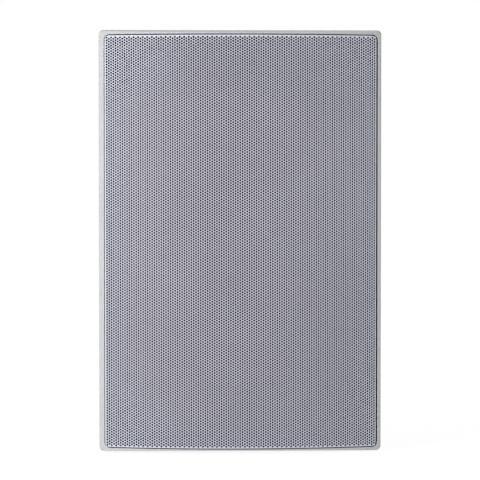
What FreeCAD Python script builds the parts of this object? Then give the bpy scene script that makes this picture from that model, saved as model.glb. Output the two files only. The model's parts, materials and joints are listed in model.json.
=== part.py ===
import FreeCAD, Part
import math
import os
import Sketcher
from FreeCAD import Placement, Rotation, Vector

# Wall loudspeaker of a door intercom, in millimetres.
# X runs to the right, Y into the wall and Z up. The origin is the middle of the face on the wall,
# and a "depth" is the distance of a plane from the wall, towards the room.

SIZES = {
    # Cabinet
    "width": 190.0,
    "height": 283.2,
    "corner": 3.0,
    "back_wall": 3.0,
    "box_wall": 2.8,
    "box_depth": 55.0,
    "box_draft": 1.7,
    "seal": 1.0,
    "skirt_wall": 2.4,
    "skirt_gap": 0.4,
    "skirt_lap": 6.0,
    "baffle": 3.5,
    "shoulder": 14.0,
    "taper_depth": 12.0,
    "taper_inset": 2.9,
    "rim_land": 0.8,
    "rim_round": 0.32,
    "opening_shift": 0.3,
    "edge_round": 1.0,
    "bow": 13.5,
    # Screws between the front housing and the rear box
    "post_radius": 4.5,
    "post_inset": 7.7,
    "box_screw_radius": 1.9,
    "box_screw_length": 16.0,
    "box_head_radius": 3.8,
    "screw_play": 0.1,
    "screw_hole_play": 0.4,
    # Wall fixings and cable entry
    "fixing_spacing_x": 120.0,
    "fixing_spacing_z": 210.0,
    "fixing_hole_radius": 2.5,
    "cable_x": 42.0,
    "cable_rise": 79.6,
    "cable_radius": 4.0,
    "grommet_neck": 7.0,
    "grommet_flange": 10.0,
    "grommet_lip": 1.5,
    "grommet_bevel": 1.0,
    "grommet_play": 0.2,
    # Grille
    "grille_gap": 0.7,
    "grille_sheet": 0.8,
    "grille_flange": 6.0,
    "grille_corner": 3.0,
    "grille_fold": 1.3,
    "grille_proud": 0.4,
    "hole_radius": 6.0,
    "hole_pitch": 20.0,
    "hole_margin": 10.0,
    "rib_thick": 3.0,
    "rib_reach": 4.5,
    "rib_grip": 3.0,
    "rib_play": 0.2,
    "rib_spacing_x": 100.0,
    "rib_spacing_z": 180.0,
    "scrim": 0.5,
    "scrim_gap": 0.2,
    "scrim_margin": 3.0,
    # Loudspeaker driver
    "driver_z": 38.0,
    "driver_seal": 1.5,
    "basket_sheet": 1.2,
    "flange_width": 12.0,
    "basket_play": 0.8,
    "ledge_depth": 19.0,
    "ledge_radius": 36.6,
    "ledge_width": 5.4,
    "floor_depth": 26.0,
    "window_angle": 62.0,
    "window_margin": 3.0,
    "driver_screw_inset": 3.5,
    "driver_screw_radius": 1.5,
    "driver_screw_length": 11.0,
    "driver_head_radius": 2.9,
    "driver_boss_radius": 4.0,
    "driver_boss": 9.0,
    "ring_height": 2.0,
    "ring_width": 4.0,
    # Magnet and voice coil
    "plate_radius": 34.0,
    "plate_thick": 4.0,
    "magnet_radius": 36.0,
    "magnet_hole": 18.0,
    "magnet_thick": 12.0,
    "yoke_thick": 4.0,
    "pole_radius": 12.2,
    "pole_gap": 0.55,
    "former_wall": 0.25,
    "coil_wall": 0.75,
    "coil_gap": 0.7,
    "coil_length": 8.0,
    # Cone, surround and spider
    "cone_wall": 0.8,
    "cone_land": 3.3,
    "cone_radius": 48.5,
    "cone_neck_depth": 13.4,
    "cone_mid_radius": 30.0,
    "cone_mid_depth": 5.4,
    "glue": 0.1,
    "roll_radius": 3.0,
    "roll_room": 6.5,
    "surround_wall": 0.6,
    "surround_lip": 5.0,
    "cap_radius": 15.2,
    "cap_height": 5.0,
    "cap_wall": 0.5,
    "cap_seat": 0.3,
    "spider_wall": 0.6,
    "spider_wave": 1.2,
    "spider_collar": 1.5,
    "spider_lip": 4.6,
    # Solder tags of the driver
    "tag_width": 18.0,
    "tag_height": 10.0,
    "tag_board": 1.5,
    "tag_depth": 7.0,
    "lug_spacing": 10.0,
    "lug_width": 2.6,
    "lug_length": 8.0,
    "lug_sheet": 0.5,
    # Line transformer
    "line_x": -38.0,
    "line_rise": 53.6,
    "line_boss": 6.0,
    "line_boss_radius": 4.0,
    "core_width": 40.0,
    "core_height": 33.5,
    "core_stack": 16.0,
    "core_yoke": 6.6,
    "core_leg": 13.2,
    "bobbin_wall": 0.9,
    "bobbin_play": 0.2,
    "winding_reach": 5.6,
    "strap_sheet": 1.0,
    "strap_width": 12.0,
    "strap_foot": 10.0,
    "strap_play": 0.1,
    "line_screw_radius": 1.4,
    "line_screw_length": 6.0,
    "line_head_radius": 2.7,
    # Terminal block
    "block_rise": 37.6,
    "block_boss": 5.0,
    "block_boss_radius": 3.6,
    "block_length": 34.0,
    "block_height": 15.0,
    "block_depth": 13.0,
    "block_step": 5.0,
    "block_shelf": 7.0,
    "block_ear": 6.0,
    "block_ear_depth": 3.0,
    "way_spacing": 9.0,
    "way_radius": 2.4,
    "way_depth": 6.0,
    "clamp_radius": 2.1,
    "clamp_height": 2.6,
    "block_screw_radius": 1.3,
    "block_screw_length": 6.0,
    "block_head_radius": 2.5,
    # Leads and wadding
    "lead_radius": 0.9,
    "lead_bend": 7.0,
    "pad_width": 100.0,
    "pad_height": 104.0,
    "pad_corner": 6.0,
    "pad_clear": 1.2,
}

WINDOWS = 4
SPIDER_WAVES = 3
ROLL_FACETS = 4
CAP_FACETS = 3
LEAD_SIDES = 6
HOLE_SIDES = 6
HEAD_TAPER = 0.7
HEAD_HEIGHT = 0.62

doc = FreeCAD.newDocument("door_speaker")


class Size:
    """A length of the sheet, or one worked out from such lengths: its value and its expression."""

    def __init__(self, value, text):
        self.value = value
        self.text = text

    def __add__(self, other):
        other = as_size(other)
        return Size(self.value + other.value, f"({self.text} + {other.text})")

    def __sub__(self, other):
        other = as_size(other)
        return Size(self.value - other.value, f"({self.text} - {other.text})")

    def __mul__(self, other):
        other = as_size(other)
        return Size(self.value * other.value, f"({self.text} * {other.text})")

    def __truediv__(self, other):
        other = as_size(other)
        return Size(self.value / other.value, f"({self.text} / {other.text})")

    def __neg__(self):
        return Size(-self.value, f"(0 - {self.text})")

    def __radd__(self, other):
        return as_size(other) + self

    def __rsub__(self, other):
        return as_size(other) - self

    def __rmul__(self, other):
        return as_size(other) * self


def as_size(number):
    """A plain number as a Size."""
    if isinstance(number, Size):
        return number
    return Size(float(number), f"({float(number)})")


def root(size):
    """The square root of a Size."""
    return Size(math.sqrt(size.value), f"sqrt({size.text})")


class Sheet:
    """The spreadsheet of driving sizes, read by name."""

    def __init__(self, table):
        self.cells = doc.addObject("Spreadsheet::Sheet", "Sizes")
        for row, (name, value) in enumerate(table.items(), 1):
            self.cells.set(f"A{row}", name)
            self.cells.set(f"B{row}", str(value))
            self.cells.setAlias(f"B{row}", name)
        doc.recompute()

    def __getattr__(self, name):
        return Size(float(self.cells.get(name)), f"Sizes.{name}")


class Drawing:
    """A sketch whose points are each tied to sizes."""

    def __init__(self, body, name, plane, depth=None):
        self.sketch = body.newObject("Sketcher::SketchObject", f"{body.Name}_{name}")
        support = next(f for f in body.Origin.OriginFeatures if f.Role == plane)
        self.sketch.AttachmentSupport = [(support, "")]
        self.sketch.MapMode = "FlatFace"
        if depth is not None:
            depth = as_size(depth)
            self.sketch.AttachmentOffset = Placement(Vector(0, 0, depth.value), Rotation())
            self.sketch.setExpression("AttachmentOffset.Base.z", depth.text)
        self.constraints = []
        self.bound = []

    def tie(self, size, kind, *where):
        """One constraint whose value follows a size."""
        self.bound.append((len(self.constraints), size.text))
        self.constraints.append(Sketcher.Constraint(kind, *where, size.value))

    def fix(self, geometry, point, x, y):
        """Ties a point to its two coordinates. A coordinate of nought puts it on the axis."""
        for kind, axis, size in (("DistanceX", -2, as_size(x)), ("DistanceY", -1, as_size(y))):
            if size.value == 0:
                self.constraints.append(Sketcher.Constraint("PointOnObject", geometry, point, axis))
            elif size.value > 0:
                self.tie(size, kind, -1, 1, geometry, point)
            else:
                self.tie(-size, kind, geometry, point, -1, 1)

    def outline(self, points):
        """A closed outline of (x, y) corners. A third item is the centre of an arc to the next one."""
        first = self.sketch.GeometryCount
        corners = [[as_size(value) for value in point[:2]] for point in points]
        ends = []
        for i, point in enumerate(points):
            ends_of_edge = (corners[i], corners[(i + 1) % len(points)])
            start, stop = (Vector(x.value, y.value, 0) for x, y in ends_of_edge)
            if len(point) == 2:
                self.sketch.addGeometry(Part.LineSegment(start, stop))
                ends.append((1, 2))
                continue
            centre = Vector(*[as_size(value).value for value in point[2]], 0)
            ends.append(self.arc(centre, start, stop))
        for i, (begin, _) in enumerate(ends):
            before = (i - 1) % len(ends)
            joint = (first + before, ends[before][1], first + i, begin)
            self.constraints.append(Sketcher.Constraint("Coincident", *joint))
            self.fix(first + i, begin, *corners[i])
            if len(points[i]) == 3:
                self.fix_height(first + i, points[i][2][1])
        return self

    def arc(self, centre, start, stop):
        """The shorter arc between two points, and which of its ends is the start and the stop."""
        circle = Part.Circle(centre, Vector(0, 0, 1), (start - centre).Length)
        a, b = (math.atan2(p.y - centre.y, p.x - centre.x) for p in (start, stop))
        counterclockwise = (b - a) % (2 * math.pi) < math.pi
        if not counterclockwise:
            a, b = b, a
        self.sketch.addGeometry(Part.ArcOfCircle(circle, a, b))
        return (1, 2) if counterclockwise else (2, 1)

    def fix_height(self, geometry, y):
        """Ties the height of an arc's centre, which its two ends leave free."""
        y = as_size(y)
        if y.value == 0:
            self.constraints.append(Sketcher.Constraint("PointOnObject", geometry, 3, -1))
        elif y.value > 0:
            self.tie(y, "DistanceY", -1, 1, geometry, 3)
        else:
            self.tie(-y, "DistanceY", geometry, 3, -1, 1)

    def box(self, width, height, x=0.0, y=0.0):
        """A plain rectangle about a middle point."""
        half, tall = as_size(width) / 2, as_size(height) / 2
        low = [(x - half, y - tall), (x + half, y - tall)]
        high = [(x + half, y + tall), (x - half, y + tall)]
        return self.outline(low + high)

    def rounded(self, width, height, radius, x=0.0, y=0.0):
        """A rectangle with round corners about a middle point."""
        half, tall = as_size(width) / 2, as_size(height) / 2
        left, right, low, high = x - half, x + half, y - tall, y + tall
        return self.outline(
            [
                (left + radius, low),
                (right - radius, low, (right - radius, low + radius)),
                (right, low + radius),
                (right, high - radius, (right - radius, high - radius)),
                (right - radius, high),
                (left + radius, high, (left + radius, high - radius)),
                (left, high - radius),
                (left, low + radius, (left + radius, low + radius)),
            ]
        )

    def circle(self, radius, x=0.0, y=0.0):
        x, y, radius = as_size(x), as_size(y), as_size(radius)
        middle = Vector(x.value, y.value, 0)
        index = self.sketch.addGeometry(Part.Circle(middle, Vector(0, 0, 1), radius.value))
        self.fix(index, 3, x, y)
        self.tie(radius, "Radius", index)
        return self

    def done(self):
        """Adds the constraints and gives the sketch."""
        self.sketch.addConstraint(self.constraints)
        for index, text in self.bound:
            self.sketch.setExpression(f"Constraints[{index}]", text)
        return self.sketch


def body_at(label, x=0.0, depth=0.0, z=0.0):
    """A body whose own origin lies at a depth from the wall."""
    body = doc.addObject("PartDesign::Body", label)
    body.Label = label
    place(body, x, -as_size(depth), z)
    return body


def place(item, x, y, z, turn=Rotation()):
    """Puts an object at three sizes."""
    spot = [as_size(value) for value in (x, y, z)]
    item.Placement = Placement(Vector(*[value.value for value in spot]), turn)
    for axis, value in zip("xyz", spot):
        item.setExpression(f"Placement.Base.{axis}", value.text)


def feature(body, kind, drawing, length=None, symmetric=False, reverse=False):
    """A pad or pocket of a drawing. With no length a pocket goes through everything."""
    profile = drawing.done()
    made = body.newObject(f"PartDesign::{kind}", f"{profile.Name}_{kind}")
    made.Profile = profile
    made.SideType = "Symmetric" if symmetric else "One side"
    made.Reversed = reverse
    if length is None:
        made.Type = "ThroughAll"
    else:
        length = as_size(length)
        made.Length = length.value
        made.setExpression("Length", length.text)
    return made


def pad(body, drawing, length, **options):
    """Adds a drawing's prism. From an XZ drawing it grows towards the room."""
    made = feature(body, "Pad", drawing, length, **options)
    doc.recompute()
    return made


def pocket(body, drawing, length=None, **options):
    """Cuts a drawing's prism, and checks that it has met the solid."""
    before = body.Tip.Shape.Volume
    made = feature(body, "Pocket", drawing, length, **options)
    doc.recompute()
    if made.Shape.Volume > before - 1e-3:
        raise RuntimeError(f"{made.Name} cuts nothing")
    return made


def loft(body, kind, start, stop):
    """A ruled loft between two drawings, added or cut away."""
    made = body.newObject(f"PartDesign::{kind}", f"{start.sketch.Name}_loft")
    made.Profile = start.done()
    made.Sections = [stop.done()]
    made.Ruled = True
    doc.recompute()
    return made


def turned(label, points, x=0.0, depth=0.0, z=0.0):
    """A body turned about the Y axis from one outline of (radius, distance towards the wall)."""
    body = body_at(label, x, depth, z)
    drawing = Drawing(body, "section", "XY_Plane").outline(points)
    made = body.newObject("PartDesign::Revolution", f"{label}_turn")
    made.Profile = drawing.done()
    made.ReferenceAxis = (made.Profile[0], ["V_Axis"])
    made.Angle = 360
    doc.recompute()
    return body


def rounded_edges(body, edges, radius, name):
    """Rounds the edges of the body's last feature that a test picks."""
    base = body.Tip
    picked = [f"Edge{i}" for i, edge in enumerate(base.Shape.Edges, 1) if edges(edge)]
    made = body.newObject("PartDesign::Fillet", f"{body.Name}_{name}")
    made.Base = (base, picked)
    made.Radius = radius.value
    made.setExpression("Radius", radius.text)
    doc.recompute()
    return made


def screws(label, places, depth, radius, length, head):
    """A set of pan-head screws along Y at places (x, z), with their heads on a seat at one depth."""
    towards_room = Rotation(Vector(1, 0, 0), 90)
    links = []
    for i, (x, z) in enumerate(places):
        shank = doc.addObject("Part::Cylinder", f"{label}_shank_{i}")
        top = doc.addObject("Part::Cone", f"{label}_head_{i}")
        for item, name, size in (
            (shank, "Radius", radius),
            (shank, "Height", length),
            (top, "Radius1", head),
            (top, "Radius2", head * HEAD_TAPER),
            (top, "Height", head * HEAD_HEIGHT),
        ):
            setattr(item, name, size.value)
            item.setExpression(name, size.text)
        place(shank, x, length - depth, z, towards_room)
        place(top, x, -as_size(depth), z, towards_room)
        whole = doc.addObject("Part::Fuse", f"{label}_{i}")
        whole.Base = shank
        whole.Tool = top
        links.append(whole)
    group = doc.addObject("Part::Compound", label)
    group.Label = label
    group.Links = links
    return group


def lead(points, radius, bend):
    """A wire of straight runs joined by arcs of one bend radius."""
    corners = [Vector(*point) for point in points]
    edges = []
    start = corners[0]
    for before, corner, after in zip(corners, corners[1:], corners[2:]):
        back = (before - corner).normalize()
        on = (after - corner).normalize()
        half = back.getAngle(on) / 2
        reach = min(bend / math.tan(half), 0.45 * min((before - corner).Length, (after - corner).Length))
        arc_radius = reach * math.tan(half)
        centre = corner + (back + on).normalize() * (arc_radius / math.sin(half))
        middle = centre + (corner - centre).normalize() * arc_radius
        edges.append(Part.LineSegment(start, corner + back * reach).toShape())
        edges.append(Part.Arc(corner + back * reach, middle, corner + on * reach).toShape())
        start = corner + on * reach
    edges.append(Part.LineSegment(start, corners[-1]).toShape())
    path = Part.Wire(edges)
    along = (corners[1] - corners[0]).normalize()
    circle = Part.Circle(corners[0], along, radius)
    rim = [circle.value(2 * math.pi * i / LEAD_SIDES) for i in range(LEAD_SIDES)]
    return path.makePipeShell([Part.makePolygon(rim + rim[:1])], True, True)


def lead_set(label, routes, radius, bend):
    """A node of wires along their routes."""
    group = doc.addObject("Part::Feature", label)
    group.Label = label
    group.Shape = Part.makeCompound([lead(route, radius.value, bend.value) for route in routes])
    return group


d = Sheet(SIZES)

# Planes and outlines that the pieces share
parting = d.box_depth + d.seal
baffle_front = parting + d.baffle
shoulder_depth = parting + d.shoulder
rim_depth = shoulder_depth + d.taper_depth
apex_depth = rim_depth + d.bow
seat_depth = rim_depth - d.grille_flange
apex_width = d.width - 2 * d.taper_inset
apex_height = d.height - 2 * d.taper_inset
rim_width = d.width - 2 * d.taper_inset * d.taper_depth / (d.taper_depth + d.bow)
open_width = apex_width - 2 * d.rim_land
open_height = apex_height - 2 * d.rim_land
bow_radius = (rim_width * rim_width / 4 + d.bow * d.bow) / (2 * d.bow)
bow_centre = apex_depth - bow_radius
box_width = d.width - 2 * (d.skirt_wall + d.skirt_gap)
box_height = d.height - 2 * (d.skirt_wall + d.skirt_gap)
grille_width = open_width - 2 * d.grille_gap
grille_height = open_height - 2 * d.grille_gap
post_x = box_width / 2 - d.box_draft - d.box_wall - d.post_inset
post_z = box_height / 2 - d.box_draft - d.box_wall - d.post_inset
posts = [(x, z) for x in (-post_x, post_x) for z in (-post_z, as_size(0), post_z)]
fixing_x, fixing_z = d.fixing_spacing_x / 2, d.fixing_spacing_z / 2
fixings = [(x, z) for x in (-fixing_x, fixing_x) for z in (-fixing_z, fixing_z)]
driver_flange = baffle_front + d.driver_seal
basket_mouth = d.cone_radius + d.roll_room
basket_radius = basket_mouth + d.flange_width
screw_circle = (basket_radius - d.driver_screw_inset) / math.sqrt(2)
driver_corners = (-screw_circle, screw_circle)
driver_holes = [(x, d.driver_z + z) for x in driver_corners for z in driver_corners]
cable_z, line_z, block_z = (rise - d.height / 2 for rise in (d.cable_rise, d.line_rise, d.block_rise))
core_base = d.back_wall + d.line_boss
foot_x = d.core_width / 2 + d.strap_play + d.strap_sheet + d.strap_foot / 2
line_feet = [(d.line_x - foot_x, line_z), (d.line_x + foot_x, line_z)]
ear_x = d.block_length / 2 - d.block_ear / 2
block_ears = [(d.cable_x - ear_x, block_z), (d.cable_x + ear_x, block_z)]
block_base = d.back_wall + d.block_boss


def arc_depth(radius, x):
    """The depth of the bowed front of that radius, at a distance from its middle."""
    return bow_centre + root(radius * radius - x * x)


def rear_box():
    """The tray that is screwed to the wall, with the posts and bosses that carry the rest."""
    body = body_at("rear_box")
    at_wall = Drawing(body, "at_wall", "XZ_Plane")
    at_wall.rounded(box_width - 2 * d.box_draft, box_height - 2 * d.box_draft, d.corner)
    at_rim = Drawing(body, "at_rim", "XZ_Plane", d.box_depth).rounded(box_width, box_height, d.corner)
    loft(body, "AdditiveLoft", at_wall, at_rim)
    rounded_edges(body, lambda edge: is_level(edge, as_size(0)), d.edge_round, "back_edge")
    inside_floor = Drawing(body, "inside_floor", "XZ_Plane", d.back_wall)
    floor_less = 2 * (d.box_draft + d.box_wall)
    inside_floor.rounded(box_width - floor_less, box_height - floor_less, d.corner)
    inside_rim = Drawing(body, "inside_rim", "XZ_Plane", d.box_depth)
    inside_rim.rounded(box_width - 2 * d.box_wall, box_height - 2 * d.box_wall, d.corner)
    loft(body, "SubtractiveLoft", inside_floor, inside_rim)

    def bosses(name, places, radius, height):
        drawing = Drawing(body, name, "XZ_Plane", d.back_wall)
        for x, z in places:
            drawing.circle(radius, x, z)
        pad(body, drawing, height)

    def holes(name, places, radius, depth, length, **options):
        drawing = Drawing(body, name, "XZ_Plane", depth)
        for x, z in places:
            drawing.circle(radius, x, z)
        pocket(body, drawing, length, **options)

    bosses("posts", posts, d.post_radius, d.box_depth - d.back_wall)
    bosses("line_bosses", line_feet, d.line_boss_radius, d.line_boss)
    bosses("block_bosses", block_ears, d.block_boss_radius, d.block_boss)
    holes("post_holes", posts, d.box_screw_radius + d.screw_play, d.box_depth, d.box_screw_length)
    holes("line_holes", line_feet, d.line_screw_radius + d.screw_play, core_base, d.line_screw_length)
    holes("block_holes", block_ears, d.block_screw_radius + d.screw_play, block_base, d.block_screw_length)
    holes("fixing_holes", fixings, d.fixing_hole_radius, d.back_wall, d.back_wall)
    entry = [(d.cable_x, cable_z)]
    holes("cable_hole", entry, d.grommet_neck + d.grommet_play, d.back_wall, d.back_wall)
    holes("cable_recess", entry, d.grommet_flange + d.grommet_play, d.grommet_lip, d.grommet_lip)
    return body


def cable_grommet():
    """The rubber bush in the cable entry, with its outer flange sunk level with the wall face."""
    inner = d.back_wall + d.grommet_play
    return turned(
        "cable_grommet",
        [
            (d.cable_radius, as_size(0)),
            (d.grommet_flange, as_size(0)),
            (d.grommet_flange, d.grommet_play - d.grommet_lip),
            (d.grommet_neck, d.grommet_play - d.grommet_lip),
            (d.grommet_neck, -inner),
            (d.grommet_flange, -inner),
            (d.grommet_flange - d.grommet_bevel, -inner - d.grommet_lip),
            (d.cable_radius, -inner - d.grommet_lip),
        ],
        d.cable_x,
        0,
        cable_z,
    )


def housing_seal():
    """The foam strip between the rear box and the baffle, on the rim of the box."""
    body = body_at("housing_seal")
    strip = Drawing(body, "strip", "XZ_Plane", d.box_depth).rounded(box_width, box_height, d.corner)
    strip.rounded(box_width - 2 * d.box_wall, box_height - 2 * d.box_wall, d.corner)
    pad(body, strip, d.seal)
    return body


def front_housing():
    """The moulded front: skirt, shoulder, tapered bowed rim, baffle and the ribs that hold the grille."""
    body = body_at("front_housing")
    skirt_end = parting - d.skirt_lap
    outline = Drawing(body, "outline", "XZ_Plane", skirt_end).rounded(d.width, d.height, d.corner)
    pad(body, outline, d.skirt_lap + d.shoulder)
    rounded_edges(body, lambda edge: is_level(edge, skirt_end), d.edge_round, "skirt_edge")
    below = Drawing(body, "taper_start", "XZ_Plane", shoulder_depth).rounded(d.width, d.height, d.corner)
    above = Drawing(body, "taper_end", "XZ_Plane", apex_depth).rounded(apex_width, apex_height, d.corner)
    loft(body, "AdditiveLoft", below, above)
    half = d.width / 2
    edge = arc_depth(bow_radius, half)
    clear = apex_depth + d.bow
    front = Drawing(body, "front_bow", "XY_Plane")
    bow = [(half, -edge, (as_size(0), -bow_centre)), (-half, -edge)]
    front.outline(bow + [(-half, -clear), (half, -clear)])
    pocket(body, front, symmetric=True)
    opening = Drawing(body, "opening", "XZ_Plane", baffle_front)
    opening.rounded(open_width, open_height, d.grille_corner + d.grille_gap, d.opening_shift)
    pocket(body, opening, reverse=True)
    rounded_edges(body, lambda edge: is_on_bow(edge, bow_radius.value), d.rim_round, "rim_edges")
    skirt = Drawing(body, "skirt", "XZ_Plane", parting)
    skirt.rounded(box_width + 2 * d.skirt_gap, box_height + 2 * d.skirt_gap, d.corner + d.skirt_gap)
    pocket(body, skirt)
    boss = Drawing(body, "driver_bosses", "XZ_Plane", parting)
    for x, z in driver_holes:
        boss.circle(d.driver_boss_radius, x, z)
    pad(body, boss, d.driver_boss, reverse=True)
    mouth = Drawing(body, "driver_mouth", "XZ_Plane", baffle_front)
    mouth.circle(basket_mouth + d.basket_sheet + d.basket_play, 0, d.driver_z)
    pocket(body, mouth, d.baffle + d.driver_boss)
    pilot = Drawing(body, "driver_pilots", "XZ_Plane", baffle_front)
    for x, z in driver_holes:
        pilot.circle(d.driver_screw_radius + d.screw_play, x, z)
    pocket(body, pilot, d.driver_screw_length)
    through = Drawing(body, "screw_holes", "XZ_Plane", baffle_front)
    for x, z in posts:
        through.circle(d.box_screw_radius + d.screw_hole_play, x, z)
    pocket(body, through, d.baffle)
    grille_ribs(body)
    return body


def grille_ribs(body):
    """Ribs on the inside of the rim. The flange of the grille stands on them and is gripped by them."""
    flange_inside = d.grille_gap + d.grille_sheet + d.rib_play
    for name, outer, shift, low, tall in (
        ("seat_ribs", as_size(0), d.opening_shift, baffle_front, seat_depth - baffle_front),
        ("grip_ribs", flange_inside, as_size(0), seat_depth, d.rib_grip),
    ):
        ribs = Drawing(body, name, "XZ_Plane", low)
        for side in (-1, 1):
            across = open_width / 2 - (outer + d.rib_reach) / 2
            for z in (-d.rib_spacing_z / 2, as_size(0), d.rib_spacing_z / 2):
                ribs.box(d.rib_reach - outer, d.rib_thick, across * side + shift, z)
            up = open_height / 2 - (outer + d.rib_reach) / 2
            for x in (-d.rib_spacing_x / 2, d.rib_spacing_x / 2):
                ribs.box(d.rib_thick, d.rib_reach - outer, x, up * side)
        pad(body, ribs, tall)


def grille():
    """The perforated sheet: the bowed blank with its staggered holes punched through."""
    blank = grille_blank()
    towards_room = Rotation(Vector(1, 0, 0), 90)
    punches = []
    for i, (x, z) in enumerate(perforations()):
        punch = doc.addObject("Part::Prism", f"grille_hole_{i}")
        punch.Polygon = HOLE_SIDES
        for name, size in (("Circumradius", d.hole_radius), ("Height", 2 * d.bow)):
            setattr(punch, name, size.value)
            punch.setExpression(name, size.text)
        place(punch, x, -rim_depth, z, towards_room)
        punches.append(punch)
    pattern = doc.addObject("Part::Compound", "grille_holes")
    pattern.Links = punches
    sheet = doc.addObject("Part::Cut", "grille")
    sheet.Base = blank
    sheet.Tool = pattern
    doc.recompute()
    return sheet


def perforations():
    """Centres of the staggered holes, in upright columns a pitch apart along each column."""
    column_step = d.hole_pitch * (math.sqrt(3) / 2)
    room_x = (grille_width / 2 - d.hole_margin).value
    room_z = (grille_height / 2 - d.hole_margin).value
    columns = int(room_x / column_step.value)
    rows = int(room_z / d.hole_pitch.value) + 1
    for column in range(-columns, columns + 1):
        stagger = 0.5 if column % 2 else 0.0
        for row in range(-rows, rows + 1):
            z = d.hole_pitch * (row + stagger)
            if abs(z.value) <= room_z:
                yield column_step * column, z


def grille_blank():
    """The sheet before punching: bowed about an upright axis, with a folded flange on all four sides."""
    body = body_at("grille_blank")
    half = grille_width / 2
    face_radius = bow_radius + d.grille_proud
    edge = arc_depth(face_radius, half)
    section = Drawing(body, "section", "XY_Plane")
    bow = [(half, -edge, (as_size(0), -bow_centre)), (-half, -edge)]
    section.outline(bow + [(-half, -seat_depth), (half, -seat_depth)])
    pad(body, section, grille_height, symmetric=True)
    tall = grille_height.value / 2
    rounded_edges(body, lambda edge: is_upright(edge, half.value, tall), d.grille_corner, "corners")
    rounded_edges(body, lambda edge: is_on_bow(edge, face_radius.value), d.grille_fold, "fold")
    block = body.Tip
    faces = enumerate(block.Shape.Faces, 1)
    back = [f"Face{i}" for i, face in faces if is_flat_at(face, -seat_depth.value)]
    shell = body.newObject("PartDesign::Thickness", "grille_shell")
    shell.Base = (block, back)
    shell.Value = d.grille_sheet.value
    shell.setExpression("Value", d.grille_sheet.text)
    shell.Reversed = True
    doc.recompute()
    return body


def is_upright(edge, half_width, half_height):
    """True for a straight edge along Y at a corner of the grille."""
    middle = edge.BoundBox.Center
    at_side = abs(abs(middle.x) - half_width) < 0.01
    at_end = abs(abs(middle.z) - half_height) < 0.01
    return at_side and at_end and len(edge.Vertexes) == 2


def is_on_bow(edge, radius):
    """True for an edge whose points all lie on the bowed front."""
    points = edge.discretize(5)
    return all(abs(math.hypot(p.x, p.y + bow_centre.value) - radius) < 1e-3 for p in points)


def is_level(edge, depth):
    """True for an edge that lies in the plane of that depth."""
    return edge.BoundBox.YLength < 1e-6 and abs(edge.BoundBox.YMin + depth.value) < 1e-3


def is_flat_at(face, y):
    """True for a face that lies in the plane of that Y."""
    return face.BoundBox.YLength < 1e-6 and abs(face.BoundBox.YMin - y) < 1e-3


def dust_scrim():
    """The black acoustic cloth behind the grille, which follows its bow."""
    body = body_at("dust_scrim")
    outer = bow_radius + d.grille_proud - d.grille_sheet - d.scrim_gap
    inner = outer - d.scrim
    half = grille_width / 2 - d.scrim_margin
    centre = (as_size(0), -bow_centre)
    section = Drawing(body, "section", "XY_Plane")
    section.outline(
        [
            (half, -arc_depth(outer, half), centre),
            (-half, -arc_depth(outer, half)),
            (-half, -arc_depth(inner, half), centre),
            (half, -arc_depth(inner, half)),
        ]
    )
    pad(body, section, grille_height - 2 * d.scrim_margin, symmetric=True)
    return body


# Distances inside the driver run from the back of its flange towards the wall
plate_front = d.floor_depth + d.basket_sheet
magnet_front = plate_front + d.plate_thick
yoke_front = magnet_front + d.magnet_thick
former_inside = d.pole_radius + d.pole_gap
former_outside = former_inside + d.former_wall
coil_outside = former_outside + d.coil_wall
plate_hole = coil_outside + d.coil_gap
coil_end = plate_front + d.plate_thick / 2 + d.coil_length / 2
neck_radius = former_outside + d.glue


def driver_piece(label, points):
    """A turned piece of the driver, on its axis."""
    return turned(label, points, 0, driver_flange, d.driver_z)


def driver_seal():
    """The ring of foam between the driver's flange and the baffle."""
    inner = basket_mouth + d.basket_sheet + d.basket_play
    body = driver_piece("driver_seal", ring(inner, basket_radius, as_size(0), d.driver_seal))
    screw_clearance(body, d.driver_seal)
    return body


def ring(inner, outer, front, thick):
    """Outline of a flat ring."""
    return [(inner, front), (outer, front), (outer, front + thick), (inner, front + thick)]


def screw_clearance(body, thick):
    """Holes for the driver's screws through its flange or its seal."""
    holes = Drawing(body, "screw_holes", "XZ_Plane", d.basket_sheet)
    for x in (-screw_circle, screw_circle):
        for z in (-screw_circle, screw_circle):
            holes.circle(d.driver_screw_radius + d.screw_hole_play, x, z)
    pocket(body, holes, d.basket_sheet + thick)


def driver_basket():
    """The pressed steel frame of the driver, with a ledge for the spider and windows between four arms."""
    sheet = d.basket_sheet
    ledge_inside = d.ledge_radius - d.ledge_width
    body = driver_piece(
        "driver_basket",
        [
            (basket_radius, -sheet),
            (basket_mouth, -sheet),
            (d.ledge_radius, d.ledge_depth),
            (ledge_inside, d.ledge_depth),
            (ledge_inside, d.floor_depth),
            (plate_hole + sheet, d.floor_depth),
            (plate_hole + sheet, plate_front),
            (ledge_inside + sheet, plate_front),
            (ledge_inside + sheet, d.ledge_depth + sheet),
            (d.ledge_radius + sheet / 2, d.ledge_depth + sheet),
            (basket_mouth + sheet, as_size(0)),
            (basket_radius, as_size(0)),
        ],
    )
    screw_clearance(body, as_size(0))
    inner = d.ledge_radius + d.window_margin
    outer = basket_mouth - d.window_margin
    half = math.radians(d.window_angle.value) / 2
    window = Drawing(body, "window", "XZ_Plane")
    low, high = math.pi / 4 - half, math.pi / 4 + half
    centre = (as_size(0), as_size(0))
    window.outline(
        [
            (inner * math.cos(low), inner * math.sin(low)),
            (outer * math.cos(low), outer * math.sin(low), centre),
            (outer * math.cos(high), outer * math.sin(high)),
            (inner * math.cos(high), inner * math.sin(high), centre),
        ]
    )
    cut = pocket(body, window, d.ledge_depth)
    around = body.newObject("PartDesign::PolarPattern", "driver_basket_windows")
    around.Originals = [cut]
    around.Axis = (cut.Profile[0], ["N_Axis"])
    around.Angle = 360
    around.Occurrences = WINDOWS
    body.Tip = around
    doc.recompute()
    return body


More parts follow.
